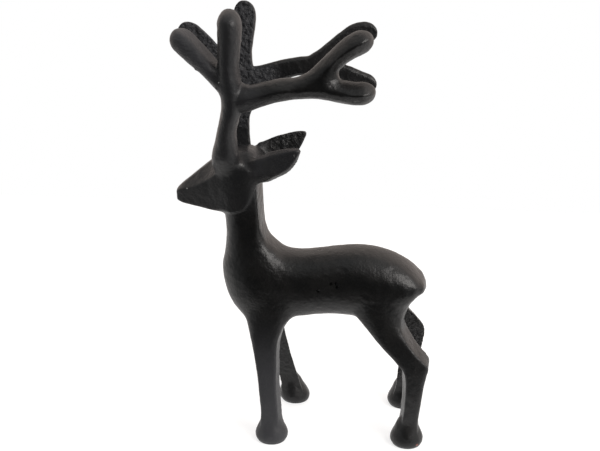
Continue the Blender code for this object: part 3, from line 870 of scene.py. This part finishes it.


# The black and the browner patches in it; a lighter black, painted light on the parts where the
# black is also rougher; painted shade at the bottom of a pit; aluminium rubbed clean, which also
# paints one highlight; and the ground coat
BLACKENED = (0.0034, 0.0034, 0.0034, 1)
BROWNED = (0.0054, 0.005, 0.0047, 1)
DULL_BLACK_WITH_PAINTED_LIGHT = (0.028, 0.028, 0.031, 1)
PAINTED_PIT_SHADE = (0.001, 0.001, 0.001, 1)
BARE_METAL_AND_PAINTED_HIGHLIGHT = (0.36, 0.35, 0.34, 1)
GROUND_COAT = (0.16, 0.05, 0.035, 1)
BLACK_IOR = 1.41
# File strokes on the nape: their size along X, Y and Z in metres, and their slant about X in
# degrees
STROKE_SIZE = (0.012, 0.012, 0.0014)
STROKE_SLANT = 35
# How deep a texture height of 1 is, in metres
TEXTURE_DEPTH = 0.001

PAPER = ((0.38, 0.38, 0.38, 1), (0.42, 0.42, 0.42, 1))
PAPER_GLOW = 0.7
WHITE = (1, 1, 1, 1)
COOL_ROOM = (0.97, 0.99, 1.0, 1)
WARM_ROOM = (1.0, 0.89, 0.83, 1)
BOX_COLOUR = (1, 0.96, 0.93)


def blackened_finish():
    """Satin black over sand-cast aluminium.

    The colour is blended by the masks, and the roughness and the texture's height are sums of
    noises and masks.
    """
    material = bpy.data.materials.new("blackened aluminium")
    board = Board(material)
    place = board.node("ShaderNodeTexCoord", out="Object")
    masks = ("sand", "dull_and_painted_light", "filed", "bare_and_painted_highlight", "chip", "pit")
    sand, dull_and_painted_light, filed, bare_and_painted_highlight, chip, pit = (board.mask(name) for name in masks)
    patches = board.between(board.noise(place, 60, 3), 0.35, 0.7)
    speckle = board.noise(place, 1400, 3, 0.6)
    colour = board.blend(patches, BLACKENED, BROWNED)
    # Painted light: the dull mask blends in a lighter black.
    colour = board.blend(dull_and_painted_light, colour, DULL_BLACK_WITH_PAINTED_LIGHT)
    # Painted shade: the pits are darkened to near black.
    colour = board.blend(board.between(pit, 0.15, 0.5), colour, PAINTED_PIT_SHADE)
    colour = board.blend(board.between(chip * (0.6 + speckle), 0.4, 0.6), colour, GROUND_COAT)
    # Aluminium rubbed clean at the nicks; at one of them it is a painted highlight.
    metal_and_painted_highlight = board.between(bare_and_painted_highlight * (0.5 + speckle), 0.4, 0.6)
    colour = board.blend(metal_and_painted_highlight, colour, BARE_METAL_AND_PAINTED_HIGHLIGHT)
    roughness = 0.31 + 0.06 * patches + 0.07 * speckle + 0.16 * dull_and_painted_light - 0.25 * pit
    strokes = board.node(
        "ShaderNodeMapping",
        {"vector_type": "TEXTURE"},
        {"Vector": place, "Rotation": (radians(STROKE_SLANT), 0, 0), "Scale": STROKE_SIZE},
    )
    marks = board.noise(strokes, 1, 2)
    grain = board.noise(place, 620, 4, 0.6)
    peel = board.noise(place, 260, 2)
    pebble = board.noise(place, 1000, 2)
    height = grain * (0.22 + 0.5 * sand) + 0.3 * peel
    height = height + 1.6 * (marks * filed) + 0.9 * (pebble * sand)
    bump = board.node(
        "ShaderNodeBump", None, {"Strength": 1.0, "Distance": TEXTURE_DEPTH, "Height": height}
    )
    shader = board.node(
        "ShaderNodeBsdfPrincipled",
        None,
        {
            "Base Color": colour,
            "Metallic": metal_and_painted_highlight,
            "Roughness": roughness,
            "IOR": BLACK_IOR,
            "Normal": bump,
        },
    )
    board.node("ShaderNodeOutputMaterial", None, {"Surface": shader})
    return material


def pale_paper():
    """Matt paper between two pale greys, which glows so that the floor and the room are one white."""
    material = bpy.data.materials.new("pale paper")
    board = Board(material)
    place = board.node("ShaderNodeTexCoord", out="Object")
    colour = board.blend(board.noise(place, 8, 2), *PAPER)
    shader = board.node(
        "ShaderNodeBsdfPrincipled",
        None,
        {
            "Base Color": colour,
            "Roughness": 0.9,
            "Emission Color": WHITE,
            "Emission Strength": PAPER_GLOW,
        },
    )
    board.node("ShaderNodeOutputMaterial", None, {"Surface": shader})
    return material


def make_floor():
    """A level sheet of pale paper under the hooves, with its front edge out of the camera's view."""
    left, right, front, back = -0.9, 0.9, -0.12, 0.5
    corners = [(left, front, 0), (right, front, 0), (right, back, 0), (left, back, 0)]
    mesh = bpy.data.meshes.new("floor")
    mesh.from_pydata(corners, [], [(0, 1, 2, 3)])
    mesh.materials.append(pale_paper())
    floor = bpy.data.objects.new("floor", mesh)
    bpy.context.scene.collection.objects.link(floor)


def softbox(name, place, aim, size, power):
    """A rectangular lamp at its place, turned to face the aim."""
    lamp = bpy.data.lights.new(name, "AREA")
    lamp.shape = "RECTANGLE"
    lamp.size, lamp.size_y = size
    lamp.energy = power
    lamp.color = BOX_COLOUR
    holder = bpy.data.objects.new(name, lamp)
    holder.location = place
    holder.rotation_euler = (Vector(aim) - Vector(place)).to_track_quat("-Z", "Y").to_euler()
    bpy.context.scene.collection.objects.link(holder)


def make_light():
    """A white studio, dim behind the camera, with one soft box at the right.

    The room's strength is a sum of smooth rises: to the back, to the top, to the right, and to the
    left low down. The camera itself sees plain white.
    """
    world = bpy.data.worlds.new("studio")
    bpy.context.scene.world = world
    board = Board(world)
    direction = board.node("ShaderNodeTexCoord", out="Generated")
    x, y, z = (
        board.node("ShaderNodeSeparateXYZ", None, {"Vector": direction}, out=axis) for axis in "XYZ"
    )
    strength = (
        0.02
        + board.between(y, -0.2, 0.6, 0, 0.86)
        + board.between(z, 0.3, 1.0, 0, 0.8)
        + board.between(x, 0.2, 0.9, 0, 0.6)
        + board.between(0 - x, 0.3, 1.0, 0, 0.58) * (1 - board.between(z, 0.3, 0.8))
    )
    warm = board.blend(board.between(y, -0.3, 0.5), COOL_ROOM, WARM_ROOM)
    room = board.node("ShaderNodeBackground", None, {"Color": warm, "Strength": strength})
    white = board.node("ShaderNodeBackground", None, {"Color": WHITE, "Strength": 1.0})
    seen = board.node("ShaderNodeLightPath", out="Is Camera Ray")
    both = board.node("ShaderNodeMixShader", None, {0: seen, 1: room, 2: white})
    board.node("ShaderNodeOutputWorld", None, {"Surface": both})
    softbox(
        "right box", place=(0.78, -0.54, 0.74), aim=(0, 0, 0.15), size=(0.72, 0.55), power=10.8
    )


def make_camera():
    """The photograph's view: from the figure's near side, a little behind it, and looking down."""
    lens = bpy.data.cameras.new("camera")
    lens.lens = 51
    lens.sensor_width = 36
    lens.clip_start = 0.01
    camera = bpy.data.objects.new("camera", lens)
    camera.location = (0.05067, -0.54696, 0.34973)
    camera.rotation_euler = [radians(angle) for angle in (70.231, 0, 5.69029)]
    bpy.context.scene.collection.objects.link(camera)
    bpy.context.scene.camera = camera


def main():
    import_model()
    bpy.context.scene.view_settings.view_transform = "Standard"
    make_camera()
    make_light()
    make_floor()
    casting = make_casting()
    casting.data.materials.append(blackened_finish())
    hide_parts("reindeer")
    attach(casting, "root")


main()
